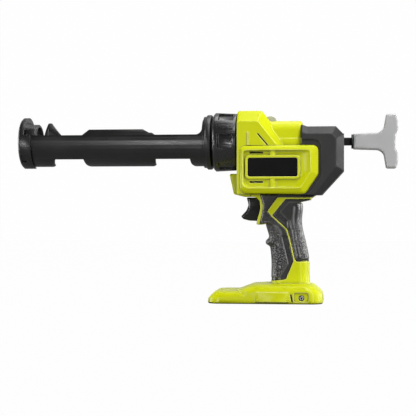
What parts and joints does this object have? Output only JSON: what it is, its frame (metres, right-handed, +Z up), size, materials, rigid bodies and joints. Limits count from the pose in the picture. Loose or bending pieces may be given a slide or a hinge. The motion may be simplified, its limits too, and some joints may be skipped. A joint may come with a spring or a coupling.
{
  "type": "cordless caulking tool",
  "caption": "Cordless caulking tool with an open half-pipe cartridge carriage, rack push rod with T-handle, geared motor drive, sprung trigger, speed dial and battery foot.",
  "frame": {"origin": "on the underside of the foot, in the plane between the housing halves, midway along the foot", "axes": "+X from the nozzle end to the T-handle, +Z up from the foot, +Y to the right of the user"},
  "size_m": [0.4451, 0.08, 0.2222],
  "materials": {
    "lime_shell": "satin moulded shell, lime yellow",
    "boot_rubber": "soft matt overmould, dark grey",
    "grip_rubber": "fine textured overmould, near black",
    "black_moulding": "satin glass-filled moulding, black",
    "grey_moulding": "satin moulding, light grey",
    "dial_plastic": "ridged wheel, pale grey",
    "plate_plastic": "bare black plate",
    "blackened_rod": "black oxide",
    "steel": "machined",
    "brass": "turned",
    "gear_head_metal": "die cast",
    "motor_can_metal": "zinc plated can",
    "electric_plastic": "flame-safe moulding, dark",
    "board_laminate": "laminate, green",
    "seal_rubber": "matt ring"
  },
  "bodies": {
    "body": {"housing_left": "lime_shell", "housing_right": "lime_shell", "rear_boot_left": "boot_rubber", "rear_boot_right": "boot_rubber", "grip_front_left": "grip_rubber", "grip_front_right": "grip_rubber", "grip_rear_left": "grip_rubber", "grip_rear_right": "grip_rubber", "side_plate_left": "plate_plastic", "side_plate_right": "plate_plastic", "housing_screws": "steel", "accessory_inserts": "steel", "insert_rings": "black_moulding", "trigger_switch": "electric_plastic", "dial_potentiometer": "electric_plastic", "control_board": "board_laminate", "terminal_block": "electric_plastic", "battery_contacts": "brass", "nose_sleeve": "black_moulding", "rod_guide_front": "black_moulding", "rod_guide_rear": "black_moulding", "roller_pin": "steel", "pinion_bearings": "brass", "first_gear_shaft": "steel", "second_gear_shaft": "steel", "motor_can": "motor_can_metal", "motor_end_bell": "electric_plastic", "reduction_head": "gear_head_metal"},
    "carriage": {"carriage_shell": "black_moulding", "front_cap": "black_moulding", "carriage_seal": "seal_rubber", "snap_ring": "steel"},
    "collar": {"lock_collar": "black_moulding"},
    "rod": {"push_rod": "blackened_rod", "plunger_disc": "black_moulding", "plunger_screw": "steel", "pull_handle": "grey_moulding", "handle_washer": "blackened_rod", "handle_pin": "steel"},
    "pinion": {"pinion_shaft": "steel", "clutch_disc": "steel"},
    "clutch_wheel": {"clutch_gear": "steel"},
    "second_wheel": {"second_gear": "steel"},
    "first_wheel": {"first_gear": "steel"},
    "motor_output": {"motor_pinion": "steel"},
    "roller": {"backing_roller": "steel"},
    "trigger": {"trigger": "black_moulding"},
    "dial": {"speed_dial": "dial_plastic"}
  },
  "joints": [
    {"name": "carriage_turn", "type": "hinge", "parent": "body", "child": "carriage", "pos_m": [-0.0665, 0, 0.1874], "axis": [1, 0, 0], "continuous": true},
    {"name": "collar_turn", "type": "hinge", "parent": "body", "child": "collar", "pos_m": [-0.047, 0, 0.1874], "axis": [1, 0, 0], "range_deg": [0, 60]},
    {"name": "rod_slide", "type": "slide", "parent": "body", "child": "rod", "axis": [1, 0, 0], "range_m": [-0.001, 0.218]},
    {"name": "pinion_turn", "type": "hinge", "parent": "body", "child": "pinion", "pos_m": [0.06, 0, 0.1754], "axis": [0, 1, 0], "range_deg": [-7, 1428]},
    {"name": "roller_turn", "type": "hinge", "parent": "body", "child": "roller", "pos_m": [0.0755, 0, 0.1952], "axis": [0, 1, 0], "range_deg": [-3904, 18]},
    {"name": "clutch_gear_turn", "type": "hinge", "parent": "body", "child": "clutch_wheel", "pos_m": [0.06, 0.013, 0.1754], "axis": [0, 1, 0], "continuous": true},
    {"name": "second_gear_turn", "type": "hinge", "parent": "body", "child": "second_wheel", "pos_m": [0.04383, 0.016, 0.15472], "axis": [0, 1, 0], "continuous": true},
    {"name": "first_gear_turn", "type": "hinge", "parent": "body", "child": "first_wheel", "pos_m": [0.02014, 0.024, 0.15857], "axis": [0, 1, 0], "continuous": true},
    {"name": "motor_spin", "type": "hinge", "parent": "body", "child": "motor_output", "pos_m": [-0.0035, 0.024, 0.1544], "axis": [0, 1, 0], "continuous": true},
    {"name": "trigger_pull", "type": "slide", "parent": "body", "child": "trigger", "axis": [1, 0, 0], "range_m": [0, 0.006], "stiffness_N_per_m": 900, "springref_m": -0.004},
    {"name": "dial_turn", "type": "hinge", "parent": "body", "child": "dial", "pos_m": [0.0046, 0, 0.2104], "axis": [0, 1, 0], "range_deg": [-135, 135]}
  ],
  "couplings": [
    {"joint": "pinion_turn", "follows": "rod_slide", "rad_per_m": 114.29},
    {"joint": "roller_turn", "follows": "rod_slide", "rad_per_m": -312.5},
    {"joint": "second_gear_turn", "follows": "clutch_gear_turn", "ratio": -2.5},
    {"joint": "first_gear_turn", "follows": "clutch_gear_turn", "ratio": 7.5},
    {"joint": "motor_spin", "follows": "clutch_gear_turn", "ratio": -30}
  ]
}
